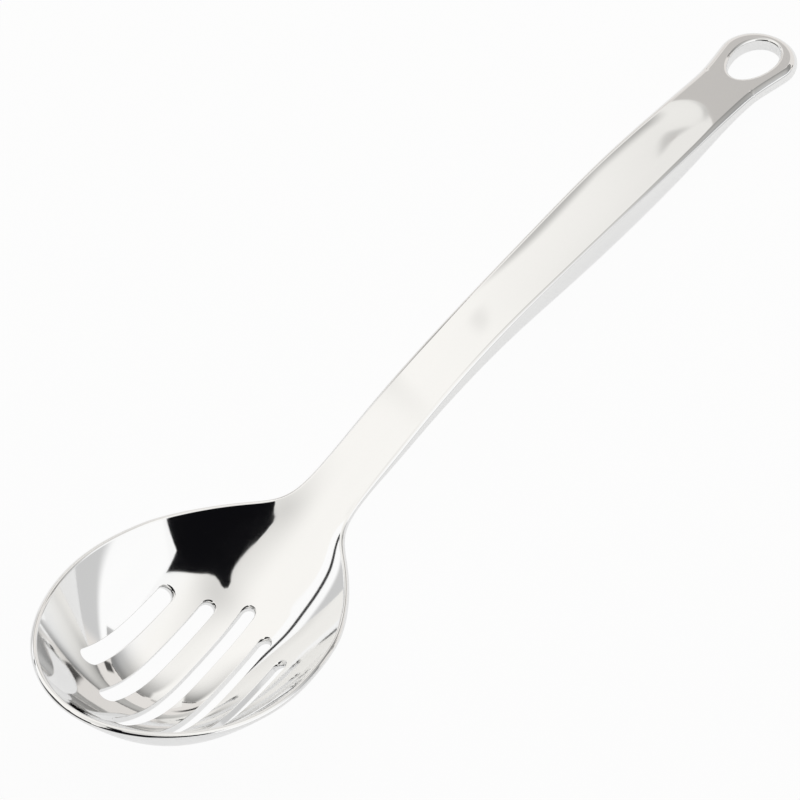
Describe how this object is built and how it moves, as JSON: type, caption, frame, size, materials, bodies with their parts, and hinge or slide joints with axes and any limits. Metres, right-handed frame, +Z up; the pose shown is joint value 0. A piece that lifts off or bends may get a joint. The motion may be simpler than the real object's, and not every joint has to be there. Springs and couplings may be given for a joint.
{
  "type": "slotted serving spoon",
  "caption": "Polished steel serving spoon: deep egg-shaped bowl with long parallel slots, waisted neck, thick hollow arched handle with a shallow channel, and a flared loop with a hanging eye.",
  "frame": {"origin": "on the table, under the middle of the spoon's length and on its middle plane", "axes": "+X from the bowl to the hanging eye, +Z up out of the bowl's hollow side, Y across"},
  "size_m": [0.3319, 0.0774, 0.0408],
  "materials": {
    "polished_steel": "mirror polished stainless steel",
    "ground_weld": "weld metal ground flush and polished with the steel around it"
  },
  "bodies": {
    "root": {"slotted_bowl": "polished_steel", "handle_top_shell": "polished_steel", "handle_bottom_shell": "polished_steel", "hanging_loop": "polished_steel", "neck_weld": "ground_weld", "loop_weld": "ground_weld", "seam_weld_left": "ground_weld", "seam_weld_right": "ground_weld"}
  },
  "joints": []
}
